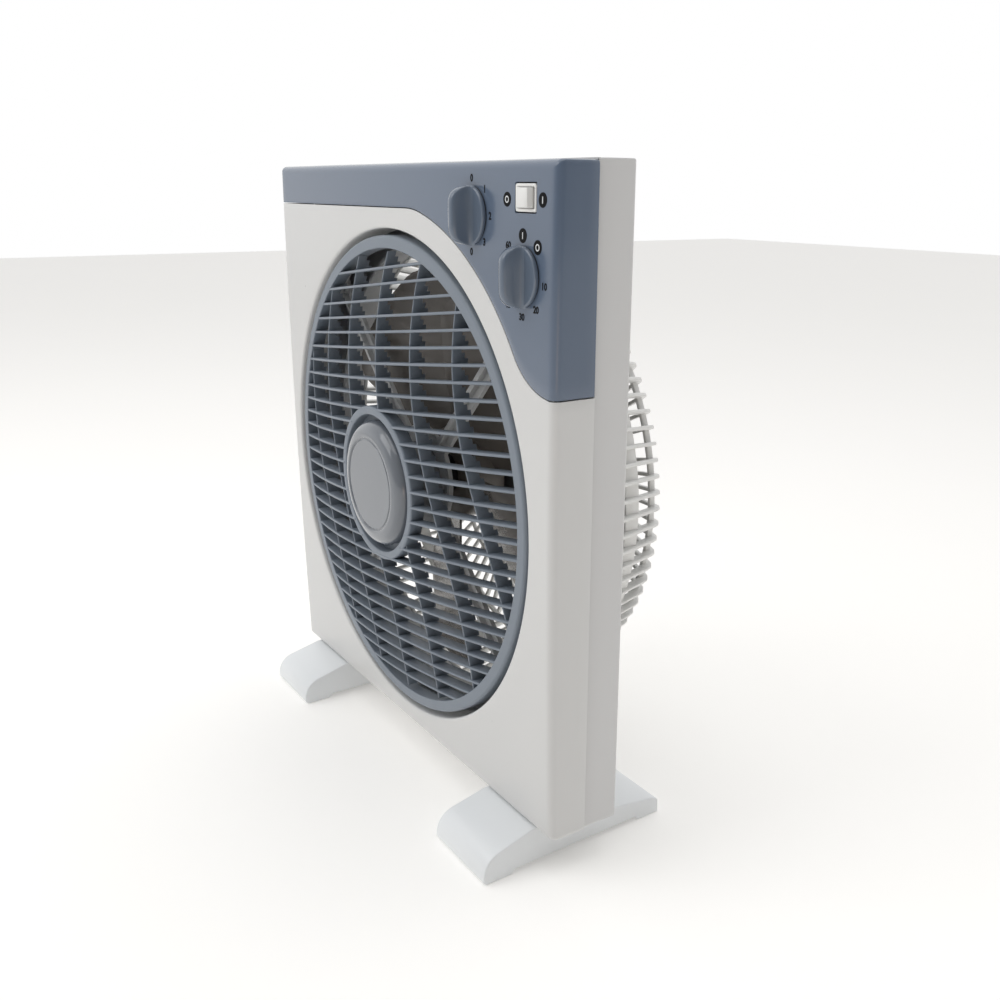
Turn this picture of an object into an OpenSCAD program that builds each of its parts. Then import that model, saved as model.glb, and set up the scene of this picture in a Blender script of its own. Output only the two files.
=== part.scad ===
// Box fan on two feet, with a turning louver disc in front of the blade.
// Lengths are millimetres. X is to the right seen from the front, Y runs
// backwards and Z up. The origin is on the floor under the middle of the fan.
// Depths named "y" are counted backwards from the flat front face of the case.

/* [Case] */
// Width of the front shell
case_w = 368; // [364:1:372]
// Height of the case without its feet
case_h = 385; // [383:1:390]
// Depth of the front shell
front_d = 25; // [24:1:26]
// Depth of the rear shell
rear_d = 24.5; // [23:0.5:25]
// Thickness of the moulded walls
wall = 2.5; // [2.2:0.1:2.8]
// Radius of the four corners
corner_r = 5; // [4:1:8]
// Amount by which the rear shell is smaller than the front shell on each side
rear_inset = 1.25; // [0.5:0.25:2]

/* [Air opening] */
// Radius of the round opening
opening_r = 165; // [164:1:166]
// Distance of the opening's centre from the middle of the case
opening_x = -4.5; // [-5:0.5:0]
// Height of the opening's centre above the floor
axis_z = 205; // [203:1:206]

/* [Control panel] */
// Thickness of the panel's skin
panel_t = 2.2; // [2:0.1:2.4]
// Height of the strip that runs across the top
strip_h = 26; // [24:1:28]
// Distance from the case's top down to the panel's lower edge at the side
panel_drop = 121; // [118:1:124]
// Radius of the panel's large curved edge
sweep_r = 180; // [178:0.5:182]

/* [Louver disc] */
// Outer radius of the disc
louver_r = 160.9; // [158:0.1:162]
// Distance from one slat to the next
slat_pitch = 10; // [9:0.5:12]
// Thickness of a slat
slat_t = 1.8; // [1.4:0.1:2.2]
// Depth of a slat, front to back
slat_d = 7.5; // [6:0.5:8]
// Angle at which the disc stands at rest
louver_turn = 6.7; // [0:0.1:45]

/* [Fan blade] */
// Number of blades
blades = 5; // [3:1:5]
// Radius at the blade tips
blade_r = 146; // [140:1:147]
// Pitch angle of a blade
blade_pitch = 26; // [20:1:28]

/* [Rear guard] */
// Number of ribs
guard_ribs = 90; // [60:5:90]
// Width of a rib
rib_w = 2.4; // [2:0.2:3]

/* [Feet] */
// Height of the case above the floor
foot_h = 26; // [25:1:28]
// Width of a foot at its nose
foot_w = 59; // [55:1:62]
// Distance from the middle of the case to the middle of a foot
foot_x = 137.5; // [130:0.5:140]

/* [Hidden] */
$fn = 64;
front_y = -39;
case_top = foot_h + case_h;
rear_y = front_d + rear_d;
panel_low = case_top - panel_drop;
strip_low = case_top - strip_h;
sweep_c = [opening_x + 3, axis_z + 0.5];
flare_r = 46;
screw_r = 2;
pilot_r = 2.05;
screw_hole_r = 2.2;
screw_head_r = 3.8;
screw_head_h = 2.4;
boss_r = 4.5;
well_r = 4.4;
quarters = [45:90:315];
sides = [-1, 1];
steel = [0.6, 0.6, 0.62];
ground_steel = [0.7, 0.7, 0.72];
alloy = [0.72, 0.73, 0.75];
shell_white = [0.82, 0.83, 0.82];
panel_grey = [0.45, 0.5, 0.56];
foot_white = [0.9, 0.92, 0.94];
shroud_r = 157;
shroud_y = 32;
case_screws_at = [[170, case_top - 16], [-170, case_top - 16], [40, case_top - 14], [-60, case_top - 14],
                  [168, foot_h + 15], [-168, foot_h + 15], [95, foot_h + 14], [-95, foot_h + 14]];
spider_y = 21;
spider_t = 3;
spider_hub_r = 36;
spider_screw_r = 174;
hub_r = 52.2;
hub_bore_r = 46.6;
dish = 0.000732;
dish_y = -18.1;
slats_each_way = 14;
slat_end_r = 154;
bezel_r = 152.8;
bezel_back = 8.5;
louver_rib_t = 1.4;
louver_rib_step = 15;
louver_rib_overlap = 0.2;
rib_pitch = 44.9;
rib_shift = 3.8;
rib_sway = 17.6;
rib_wave = 365;
louver_motor_x = 29.5;
spindle_r = 3;
blade_y = 52;
blade_t = 2.2;
paddle_r = 52;
blade_hub_r = 33;
blade_hub_y = 40;
shaft_r = 4;
dial_spindle_r = 2.2;
knob_r = 16;
knob_h = 15;
knob_y = -1;
spindle_hole_r = 4.6;
switch_y = panel_t + wall;
switch_screw_x = 10;
screw_small_r = 1.3;
speed_size = [32, 30, 16];
timer_size = [36, 42, 24];
rocker_size = [17.6, 12.4, 20];
rocker_frame = [18.9, 13.9];
rocker_recess = [16, 10.6];
run_gap = 0.05;
motor_y = 70;
motor_r = 43;
ear_r = 47.5;
mount_r = 36;
guard_screw_r = 167;
speed_at = [101.5, axis_z + 175.4];
timer_at = [153.3, axis_z + 146];
rocker_at = [155.4, axis_z + 185.3];
rocker_pivot_y = 4;
rocker_pin_r = 1.2;
rocker_tilt = -8;
gland_at = [150, 62];
gland_r = 6;
gland_bore_r = 3.6;
foot_screws_y = [12, 35];

// ---- helpers ----

// A slab t deep whose front is at depth y; its outline is drawn as (x, z).
module slab(y, t) {
    translate([0, front_y + y + t, 0]) rotate([90, 0, 0]) linear_extrude(t) children();
}

// A body turned about the fan's axis; its section is drawn as (radius, y).
module turned() {
    translate([opening_x, front_y, axis_z]) rotate([-90, 0, 0]) rotate_extrude($fn = 120) children();
}

// A round bar along Y, at (x, z), from depth y.
module bar(at, y, l, r) {
    translate([at[0], front_y + y, at[1]]) rotate([-90, 0, 0]) cylinder(h = l, r = r);
}

// A place on a circle about the fan's axis.
function on_circle(r, a) = [opening_x + r * cos(a), axis_z + r * sin(a)];

// Rectangle with round corners, made of true arcs.
module soft_rect(x0, z0, x1, z1, r) {
    translate([x0 + r, z0]) square([x1 - x0 - 2 * r, z1 - z0]);
    translate([x0, z0 + r]) square([x1 - x0, z1 - z0 - 2 * r]);
    for (x = [x0 + r, x1 - r], z = [z0 + r, z1 - r]) translate([x, z]) circle(r);
}

// The case's outline, made smaller by inset.
module case_outline(inset) {
    soft_rect(-case_w / 2 + inset, foot_h + inset, case_w / 2 - inset, case_top - inset,
              max(corner_r - inset, 1));
}

// The control panel's outline; grow moves its curved edge outwards.
module panel_outline(grow) {
    low = panel_low - grow;
    fr = flare_r + grow;
    far = sweep_r - grow + fr;
    fc = [sweep_c[0] + sqrt(pow(far, 2) - pow(low + fr - sweep_c[1], 2)), low + fr];
    touch = sweep_c + (fc - sweep_c) * (sweep_r - grow) / far;
    difference() {
        translate([-case_w / 2 - 1, low]) square([case_w + 2, case_top + 1 - low]);
        translate([-case_w / 2 - 2, low - 1]) square([case_w / 2 + 2, strip_low - grow - low + 1]);
        intersection() {
            translate(sweep_c) circle(sweep_r - grow, $fn = 160);
            translate([-case_w, low - 2]) square([2 * case_w, strip_low - grow - low + 2]);
        }
        difference() {
            polygon([touch, fc, [fc[0], low - 1], [touch[0] - 2, low - 1]]);
            translate(fc) circle(fr);
        }
    }
}

// A screw along Y with its head at the back.
module screw_y(at, y_tip, y_head, head_r) {
    bar(at, y_tip, y_head - y_tip, screw_r);
    bar(at, y_head, screw_head_h, head_r);
}

// ---- case ----

module front_shell() {
    color(shell_white) difference() {
        union() {
            difference() {
                slab(0, front_d) case_outline(0);
                slab(wall, front_d) case_outline(wall);
                slab(-1, front_d + 2) panel_outline(0);
            }
            intersection() {
                difference() {
                    slab(panel_t, front_d - panel_t) case_outline(panel_t);
                    slab(panel_t + wall, front_d) case_outline(panel_t + wall);
                }
                slab(0, front_d) panel_outline(3);
            }
            turned() translate([opening_r, 0.5]) square([wall, 20]);
            for (at = case_screws_at) bar(at, panel_t + 0.1, front_d - panel_t - 0.1, boss_r);
            for (a = quarters)
                bar(on_circle(spider_screw_r, a), panel_t + 0.1, spider_y - panel_t - 0.1, boss_r);
            for (s = sides) translate([s * foot_x, front_y + foot_screws_y[0], foot_h])
                cylinder(h = 14, r = boss_r);
        }
        bar([opening_x, axis_z], -1, front_d + 2, opening_r);
        for (at = case_screws_at) bar(at, 8, front_d, pilot_r);
        for (a = quarters) bar(on_circle(spider_screw_r, a), 9, front_d, pilot_r);
        for (s = sides) translate([s * foot_x, front_y + foot_screws_y[0], foot_h - 1])
            cylinder(h = 12, r = pilot_r);
        for (at = [speed_at, timer_at]) {
            bar(at, 0, 8, spindle_hole_r);
            switch_screw_holes(at, screw_small_r);
        }
        slab(0, 8) translate(rocker_at) square([rocker_size[0] + 0.4, rocker_size[1] + 0.4], center = true);
    }
}

module control_panel() {
    color(panel_grey) difference() {
        intersection() {
            difference() {
                slab(0, front_d) case_outline(0);
                slab(panel_t, front_d) case_outline(panel_t);
            }
            slab(0, front_d) panel_outline(-0.2);
        }
        for (at = [speed_at, timer_at]) {
            bar(at, -1, 5, spindle_hole_r);
            switch_screw_holes(at, screw_small_r);
            for (s = sides) bar(at + [s * switch_screw_x, 0], -1, 2.4, 2.7);
        }
        slab(-1, 5) translate(rocker_at) square(rocker_frame + [1.3, 1.3], center = true);
    }
}

module rear_shell() {
    color(shell_white) difference() {
        union() {
            difference() {
                slab(front_d, rear_d) case_outline(rear_inset);
                slab(front_d - 1, rear_d - wall + 1) case_outline(rear_inset + wall);
            }
            turned() translate([shroud_r, shroud_y]) square([wall, rear_y - shroud_y]);
            for (at = case_screws_at) bar(at, front_d, rear_d - 0.5, 6);
            for (a = quarters) bar(on_circle(guard_screw_r, a), rear_y - 10, 9.5, boss_r);
            for (s = sides) translate([s * foot_x, front_y + foot_screws_y[1], foot_h + rear_inset])
                cylinder(h = 13, r = boss_r);
        }
        bar([opening_x, axis_z], front_d, rear_d + 1, shroud_r);
        for (at = case_screws_at) {
            bar(at, front_d - 1, 12, screw_hole_r);
            bar(at, front_d + 8, rear_d, well_r);
        }
        for (a = quarters) bar(on_circle(guard_screw_r, a), rear_y - 9, 10, pilot_r);
        for (s = sides) translate([s * foot_x, front_y + foot_screws_y[1], foot_h])
            cylinder(h = 12, r = pilot_r);
        bar(gland_at, rear_y - 5, 6, gland_r);
    }
}

module case_screws() {
    color(steel) for (at = case_screws_at) screw_y(at, 12, front_d + 8, 3.9);
}

// ---- rear guard ----

guard_section = [[163, rear_y + 0.5], [149, 105.5], [147, 109], [143.5, 110.8], [50, 113], [50, 109.5],
                 [142, 107.3], [144, 104.5], [158, rear_y + 0.5]];

module guard_rib(a) {
    translate([opening_x, front_y, axis_z]) rotate([0, -a, 0])
        translate([0, 0, -rib_w / 2]) linear_extrude(rib_w) polygon(guard_section);
}

module rear_guard() {
    color([0.85, 0.86, 0.86]) difference() {
        union() {
            for (k = [0:guard_ribs - 1]) guard_rib(k * 360 / guard_ribs);
            turned() translate([shroud_r, rear_y]) square([15, 2.5]);
            turned() translate([148.5, 79]) square([2.5, 10]);
            turned() translate([141.5, 103.5]) square([2.5, 4]);
            turned() translate([110, 108.3]) square([2.5, 3]);
            turned() translate([78, 109]) square([2.5, 3]);
            turned() translate([0, 108]) square([52, 5]);
            turned() translate([0, 113]) square([30, 1]);
        }
        for (a = quarters) bar(on_circle(guard_screw_r, a), rear_y - 1, 6, screw_hole_r);
        for (a = quarters) bar(on_circle(mount_r, a), 107, 8, screw_hole_r);
    }
}

module guard_screws() {
    color(steel) for (a = quarters) 
        screw_y(on_circle(guard_screw_r, a), rear_y - 8, rear_y + 2.5, screw_head_r);
}

// ---- louver ----

function dish_at(r) = dish_y + dish * r * r;

// Points along the dish as (x, y), at offset h across the disc.
function dished_edge(half, h, back) =
    [for (k = [-6:6]) [k * half / 6, dish_at(norm([k * half / 6, h])) + back]];

// Outline of a plate that follows the dish, at offset h across the disc.
module dished_strip(h, y_front, y_back) {
    half = sqrt(pow(slat_end_r, 2) - h * h);
    back_edge = dished_edge(half, h, y_back);
    polygon(concat(dished_edge(half, h, y_front), [for (k = [12:-1:0]) back_edge[k]]));
}

module slat(h) {
    translate([0, 0, h - slat_t / 2]) linear_extrude(slat_t) dished_strip(h, 0, slat_d);
}

// Sideways place of a cross rib, which sways in a long S, at height h on the disc.
function sway(x, h) = x + rib_shift - rib_sway * sin(h * 360 / rib_wave);

// A thin upright plate from slat to slat, in short straight lengths.
module cross_rib(x) {
    for (h = [-150:louver_rib_step:135]) {
        a = [sway(x, h), h - louver_rib_overlap];
        b = [sway(x, h + louver_rib_step), h + louver_rib_step + louver_rib_overlap];
        reach = max(norm(a), norm(b));
        if (reach < slat_end_r + 2 && norm((a + b) / 2) > 44) {
            y = dish_at(norm((a + b) / 2));
            slab(y + 1.6, slat_d + 1) polygon([a, a + [louver_rib_t, 0], b + [louver_rib_t, 0], b]);
        }
    }
}

module louver_disc() {
    color([0.42, 0.45, 0.5]) {
        difference() {
            translate([opening_x, 0, axis_z]) rotate([0, -louver_turn, 0]) {
                for (h = [-slats_each_way:slats_each_way]) translate([0, front_y, 0]) slat(h * slat_pitch);
                for (k = [-2.5:2.5]) cross_rib(k * rib_pitch);
            }
            bar([opening_x, axis_z], -30, 50, hub_bore_r + 0.9);
        }
        turned() polygon([[bezel_r, -1], [158.5, -0.6], [louver_r, 1.2], [louver_r, bezel_back],
                          [bezel_r, bezel_back]]);
        turned() polygon([[hub_bore_r, -15], [hub_bore_r + 0.9, -16], [hub_r - 1, -16], [hub_r, -15],
                          [hub_r, -6.5], [8, -6.5], [8, 3], [spindle_r, 3], [spindle_r, -9],
                          [hub_bore_r, -9]]);
    }
}

module louver_cap() {
    color([0.5, 0.54, 0.58]) turned()
        polygon([[0, -20.3], [30.5, -20.3], [31.2, -19.7], [32.2, -20.6], [34, -20.5], [39.5, -18],
                 [42.2, -13.5], [42.5, -9], [40, -9], [40, -11.5], [38, -14.5], [33, -17.2], [0, -17.2]]);
}

module louver_shaft() {
    color(ground_steel) bar([opening_x, axis_z], -9, 21, spindle_r);
}

module louver_screw() {
    color(steel) {
        bar([opening_x, axis_z], -9.8, 0.8, 6);
        bar([opening_x, axis_z], -12, 2.2, 3);
    }
}

module louver_motor() {
    color([0.68, 0.69, 0.7]) difference() {
        union() {
            turned() polygon([[0, 5], [7, 5], [7, 7], [24.5, 7], [24.5, spider_y], [0, spider_y]]);
            slab(19.5, 1.5) translate([opening_x, axis_z]) square([66, 9], center = true);
        }
        bar([opening_x, axis_z], 4, 9, spindle_r + run_gap);
        for (s = sides) bar([opening_x + s * louver_motor_x, axis_z], 18, 5, 1.6);
    }
}

module louver_motor_screws() {
    color(steel) for (s = sides) {
        bar([opening_x + s * louver_motor_x, axis_z], 17.7, 1.8, 2.8);
        bar([opening_x + s * louver_motor_x, axis_z], 19.5, 4.2, 1.5);
    }
}

module front_spider() {
    color(shell_white) difference() {
        union() {
            slab(spider_y, spider_t) translate([opening_x, axis_z]) circle(spider_hub_r);
            for (a = quarters) translate([opening_x, front_y, axis_z]) rotate([0, -a, 0]) {
                translate([30, spider_y, -6]) cube([spider_screw_r - 24, spider_t, 12]);
                translate([30, spider_y - 4, -1.25]) cube([opening_r - 34, 4.5, 2.5]);
            }
        }
        bar([opening_x, axis_z], spider_y - 6, 6, spider_hub_r - 2);
        for (a = quarters) bar(on_circle(spider_screw_r, a), spider_y - 1, 5, screw_hole_r);
        for (s = sides) bar([opening_x + s * louver_motor_x, axis_z], spider_y - 1, 5, 1.6);
    }
}

module spider_screws() {
    color(steel) for (a = quarters)
        screw_y(on_circle(spider_screw_r, a), 10, spider_y + spider_t, screw_head_r);
}

// ---- fan and motor ----

module blade(a) {
    translate([opening_x, front_y + blade_y, axis_z]) rotate([0, -a, 0]) rotate([-blade_pitch, 0, 0])
        rotate([90, 0, 0]) translate([0, 0, -blade_t / 2]) linear_extrude(blade_t) {
            translate([blade_r - paddle_r, 0]) circle(paddle_r);
            polygon([[26, -20], [80, 2 - paddle_r], [80, paddle_r - 2], [26, 20]]);
        }
}

module fan_blade() {
    color([0.6, 0.64, 0.68, 0.7]) difference() {
        union() {
            difference() {
                for (k = [0:blades - 1]) blade(90 + k * 360 / blades);
                bar([opening_x, axis_z], 30, 50, blade_hub_r - 2);
            }
            turned() polygon([[0, blade_hub_y], [28, blade_hub_y], [blade_hub_r, 44], [blade_hub_r, 66],
                              [30.5, 66], [30.5, 43], [9, 43], [9, 62], [0, 62]]);
        }
        bar([opening_x, axis_z], 39, 30, shaft_r);
    }
}

module blade_nut() {
    color([0.75, 0.76, 0.77]) turned() polygon([[0, 28], [5, 28.4], [11, 31], [14, 36], [14, blade_hub_y],
        [shaft_r, blade_hub_y], [shaft_r, 33], [0, 33]]);
}

module motor_shaft() {
    color(ground_steel) bar([opening_x, axis_z], 33, 71, shaft_r);
}

module rotor() {
    color([0.55, 0.56, 0.58]) turned() translate([shaft_r, 79]) square([25.6 - shaft_r, 18]);
}

module stator() {
    color([0.4, 0.42, 0.45]) turned() translate([26, 80]) square([motor_r - wall - 26, 16]);
}

module windings() {
    color([0.72, 0.42, 0.2]) for (y = [74.5, 96]) turned() translate([26.5, y]) square([5.5, 5.5]);
}

module motor_front_cover() {
    color(alloy) difference() {
        union() {
            turned() polygon([[7, 67], [11, 67], [12, motor_y], [motor_r - 3, motor_y],
                [motor_r, motor_y + 3], [motor_r, 84], [motor_r - wall, 84], [motor_r - wall, 73],
                [11, 73], [11, 76], [7, 76]]);
            for (a = [0:90:270]) bar(on_circle(ear_r, a), 80, 4, 5);
        }
        bar([opening_x, axis_z], 79, 6, motor_r - wall);
        for (a = [0:90:270]) bar(on_circle(ear_r, a), 79, 6, 2.1);
    }
}

module motor_rear_cover() {
    color(alloy) difference() {
        union() {
            turned() polygon([[0, 105.5], [7, 105.5], [7, 98], [11, 98], [11, 105.5],
                [motor_r - wall, 105.5],
                [motor_r - wall, 92], [motor_r, 92], [motor_r, 105], [motor_r - 3, 108], [0, 108]]);
            for (a = quarters) bar(on_circle(mount_r, a), 98, 9, 3.5);
            for (a = [0:90:270]) bar(on_circle(ear_r, a), 92, 4, 5);
        }
        bar([opening_x, axis_z], 91, 6, motor_r - wall);
        for (a = [0:90:270]) bar(on_circle(ear_r, a), 91, 6, 2.1);
        for (a = quarters) bar(on_circle(mount_r, a), 99, 10, pilot_r);
    }
}

module shaft_bushes() {
    color([0.7, 0.52, 0.3]) for (y = [68, 98.5]) turned() translate([shaft_r + run_gap, y])
        square([7 - shaft_r - run_gap, 6.5]);
}

module motor_tie_screws() {
    color(steel) for (a = [0:90:270]) {
        bar(on_circle(ear_r, a), 77.6, 2.4, 3.6);
        bar(on_circle(ear_r, a), 80, 18, screw_r);
        bar(on_circle(ear_r, a), 96, 2, 3.6);
    }
}

module motor_mount_screws() {
    color(steel) for (a = quarters) {
        bar(on_circle(mount_r, a), 100, 13, screw_r);
        bar(on_circle(mount_r, a), 113, 1, 4);
    }
}

// ---- controls ----

// A plain box whose size is [width, height, depth], centred at (x, z), from depth y.
module switch_body(at, y, size) {
    slab(y, size[2]) translate(at) square([size[0], size[1]], center = true);
}

module speed_switch() {
    color([0.9, 0.88, 0.82]) difference() {
        union() {
            switch_body(speed_at, switch_y, speed_size);
            for (k = [-2:2]) slab(switch_y + speed_size[2], 6) translate(speed_at + [k * 6, -8])
                square([2.5, 0.8], center = true);
        }
        bar(speed_at, 0, 12, dial_spindle_r + run_gap);
        switch_screw_holes(speed_at, screw_small_r);
    }
}

module speed_spindle() {
    color(ground_steel) bar(speed_at, -10, 21, dial_spindle_r);
}

// Side view of a knob's grip as (z, y): a blunt arch.
grip_arch = [for (t = [0:12:180])
    let (side = cos(t) < 0 ? -1 : 1)
        [side * 15.7 * pow(abs(cos(t)), 0.5), -1.5 - (knob_h - 1.5) * pow(sin(t), 0.75)]];

// Round dial knob with a raised grip bar across it.
module knob(at) {
    difference() {
        union() {
            translate([at[0], front_y, at[1]]) rotate([-90, 0, 0]) rotate_extrude($fn = 72)
                polygon([[0, knob_y - 2.4], [knob_r - 1, knob_y - 2.4], [knob_r, knob_y - 1.4],
                         [knob_r, knob_y], [0, knob_y]]);
            translate([at[0], front_y, at[1]]) intersection() {
                translate([-6, 0, 0]) rotate([90, 0, 90]) linear_extrude(12) mirror([1, -1])
                    polygon(grip_arch);
                translate([0, 0, -18]) linear_extrude(36)
                    polygon([[-4.6, 0], [-3.2, -knob_h - 1], [3.2, -knob_h - 1], [4.6, 0]]);
            }
        }
        bar(at, -10, 10, dial_spindle_r);
    }
}

module speed_knob() {
    color(panel_grey) knob(speed_at);
}

module timer_unit() {
    color([0.85, 0.83, 0.78]) difference() {
        union() {
            switch_body(timer_at, switch_y, timer_size);
            for (k = [-1:1]) slab(switch_y + timer_size[2], 6) translate(timer_at + [k * 8, -14])
                square([4, 0.8], center = true);
        }
        bar(timer_at, 0, 12, dial_spindle_r + run_gap);
        switch_screw_holes(timer_at, screw_small_r);
    }
}

module timer_spindle() {
    color(ground_steel) bar(timer_at, -10, 21, dial_spindle_r);
}

module timer_knob() {
    color(panel_grey) knob(timer_at);
}

module switch_screw_holes(at, r) {
    for (s = sides) bar(at + [s * switch_screw_x, 0], -1, 11, r);
}

// Flat-headed screws that hold the switch and the timer, hidden under the knobs.
module switch_screws() {
    color(steel) for (at = [speed_at, timer_at], s = sides) {
        bar(at + [s * switch_screw_x, 0], 0.2, 1.2, 2.6);
        bar(at + [s * switch_screw_x, 0], 1.4, 7.6, screw_small_r - 0.05);
    }
}

module rocker_housing() {
    color([0.9, 0.92, 0.94]) difference() {
        union() {
            slab(-1, panel_t + 0.9) translate(rocker_at) square(rocker_frame, center = true);
            switch_body(rocker_at, 0, rocker_size);
            for (k = [-1:1]) slab(rocker_size[2], 7) translate(rocker_at + [k * 6, 0])
                square([0.8, 5], center = true);
        }
        slab(-2, 11) translate(rocker_at) square(rocker_recess, center = true);
        translate([rocker_at[0], front_y + rocker_pivot_y, rocker_at[1] - 8])
            cylinder(h = 16, r = rocker_pin_r + run_gap);
    }
}

module rocker_paddle() {
    color([0.93, 0.95, 0.97]) translate([rocker_at[0], front_y + rocker_pivot_y, rocker_at[1]])
        rotate([0, 0, rocker_tilt]) {
        translate([0, 0, -5]) linear_extrude(10)
            polygon([[-6.7, -6.8], [0, -5.8], [6.7, -6.8], [6.7, -3], [2.5, 2], [-2.5, 2], [-6.7, -3]]);
        translate([0, 0, -6]) cylinder(h = 12, r = rocker_pin_r);
    }
}

module capacitor() {
    color([0.2, 0.22, 0.24]) slab(wall, 15) soft_rect(-177, 46, -141, 72, 2);
}

module cord_gland() {
    color([0.2, 0.2, 0.21]) difference() {
        union() {
            bar(gland_at, rear_y - wall, wall, gland_r);
            bar(gland_at, rear_y, 3, 8.5);
            bar(gland_at, rear_y - wall - 3, 3, 7.5);
        }
        bar(gland_at, rear_y - 10, 20, gland_bore_r);
    }
}

// ---- internal wiring, straight runs joined by round bends ----

wire_r = 1.5;
riser_x = 176;
supply_run = [[gland_at[0], rear_y - 6, gland_at[1]], [gland_at[0], 33, gland_at[1]],
              [riser_x, 33, gland_at[1]], [riser_x, 33, 350], [riser_x, 20, 350],
              [timer_at[0] + timer_size[0] / 2 + 0.3, 20, 350]];
switch_run = [[timer_at[0] - timer_size[0] / 2 - 0.2, 15, 360], [124, 15, 360], [124, 15, 380],
              [speed_at[0] + speed_size[0] / 2 + 0.2, 15, 380]];

module run(points) {
    for (k = [0:len(points) - 2]) {
        step = points[k + 1] - points[k];
        translate([0, front_y, 0] + points[k])
            rotate([0, acos(step[2] / norm(step)), atan2(step[1], step[0])])
            cylinder(h = norm(step), r = wire_r);
    }
    for (k = [1:len(points) - 2]) translate([0, front_y, 0] + points[k]) sphere(wire_r + 0.2);
}

module wiring() {
    color([0.15, 0.15, 0.16]) {
        run(supply_run);
        run(switch_run);
    }
}

// ---- feet ----

nose_r = 15;
nose_steps = 8;
foot_back = 101.5;

// Side view of a foot as (y, z), y counted from the case's front face.
foot_side = concat([[-34, 0], [-36, 2]],
    [for (k = [0:nose_steps]) let (a = 180 - k * 74 / nose_steps)
        [-21 + nose_r * cos(a), 5 + nose_r * sin(a)]],
    [[-0.5, foot_h], [44, foot_h], [51, 19.2], [96, 12.6], [100, 11.2], [foot_back, 8.5], [foot_back, 0],
     [84, 0], [82, 3], [-13.5, 3], [-15.5, 0]]);

// A foot; side is -1 for the left one and 1 for the right one.
module foot(side) {
    difference() {
        intersection() {
            translate([side * foot_x - foot_w / 2, front_y, 0]) rotate([90, 0, 90]) linear_extrude(foot_w)
                polygon(foot_side);
            translate([side * foot_x, front_y, -1]) linear_extrude(60)
                polygon([[-foot_w / 2, -37], [foot_w / 2, -37], [foot_w / 2 - 4.5, 103],
                         [4.5 - foot_w / 2, 103]]);
        }
        for (y = foot_screws_y) translate([side * foot_x, front_y + y, -1]) {
            cylinder(h = 60, r = screw_hole_r);
            cylinder(h = 19, r = well_r);
        }
        difference() {
            translate([side * foot_x - 22, front_y - 10, -1]) cube([44, 88, 12]);
            for (y = foot_screws_y) translate([side * foot_x, front_y + y, -1]) cylinder(h = 60, r = 7);
        }
    }
}

module foot_left() {
    color(foot_white) foot(-1);
}

module foot_right() {
    color(foot_white) foot(1);
}

module foot_screws() {
    color(steel) for (s = sides, y = foot_screws_y) translate([s * foot_x, front_y + y, 15.6]) {
        cylinder(h = screw_head_h, r = screw_head_r);
        cylinder(h = 21, r = screw_r);
    }
}

front_shell();
control_panel();
rear_shell();
case_screws();
rear_guard();
guard_screws();
louver_disc();
louver_cap();
louver_shaft();
louver_screw();
louver_motor();
louver_motor_screws();
front_spider();
spider_screws();
fan_blade();
blade_nut();
motor_shaft();
rotor();
stator();
windings();
motor_front_cover();
motor_rear_cover();
shaft_bushes();
motor_tie_screws();
motor_mount_screws();
speed_switch();
speed_spindle();
speed_knob();
timer_unit();
timer_spindle();
timer_knob();
switch_screws();
rocker_housing();
rocker_paddle();
capacitor();
cord_gland();
wiring();
foot_left();
foot_right();
foot_screws();
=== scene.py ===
from math import asin, atan2, cos, hypot, pi, radians, sin, sqrt

import bmesh
import bpy
from mathutils import Matrix, Vector


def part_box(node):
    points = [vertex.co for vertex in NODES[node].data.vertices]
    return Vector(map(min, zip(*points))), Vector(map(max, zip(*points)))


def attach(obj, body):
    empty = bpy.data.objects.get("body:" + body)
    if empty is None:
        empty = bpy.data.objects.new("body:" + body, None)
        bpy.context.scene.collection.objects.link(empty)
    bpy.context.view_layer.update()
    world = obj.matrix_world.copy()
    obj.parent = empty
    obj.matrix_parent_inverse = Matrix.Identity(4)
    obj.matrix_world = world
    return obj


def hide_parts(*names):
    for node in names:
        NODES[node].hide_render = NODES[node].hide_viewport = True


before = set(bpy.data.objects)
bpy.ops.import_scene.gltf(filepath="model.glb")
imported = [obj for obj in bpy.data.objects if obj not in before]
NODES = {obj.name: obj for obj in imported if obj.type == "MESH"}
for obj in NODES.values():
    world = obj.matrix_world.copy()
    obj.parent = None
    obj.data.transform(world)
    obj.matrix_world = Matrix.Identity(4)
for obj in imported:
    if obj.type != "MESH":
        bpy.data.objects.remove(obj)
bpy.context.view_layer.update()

# A box fan on two feet. Metres, in the CAD's frame: X right, Y backwards, Z up.
# Depths called "y" below are counted backwards from the flat front of the case.

# ---- places and sizes taken from the frame ----

CASE_LOW, CASE_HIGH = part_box("front_shell")
REAR_LOW, REAR_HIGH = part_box("rear_shell")
PANEL_LOW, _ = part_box("control_panel")
LOUVER_LOW, LOUVER_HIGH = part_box("louver_disc")
FRONT_Y = CASE_LOW.y
AXIS_X = (LOUVER_LOW.x + LOUVER_HIGH.x) / 2
AXIS_Z = (LOUVER_LOW.z + LOUVER_HIGH.z) / 2
CASE_TOP = CASE_HIGH.z
CASE_FOOT = CASE_LOW.z
SEAM_Y = CASE_HIGH.y - FRONT_Y
REAR_Y = REAR_HIGH.y - FRONT_Y
LOUVER_R = (LOUVER_HIGH.x - LOUVER_LOW.x) / 2
PANEL_SIDE_Z = PANEL_LOW.z

# ---- sizes of the visible shapes ----

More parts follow.
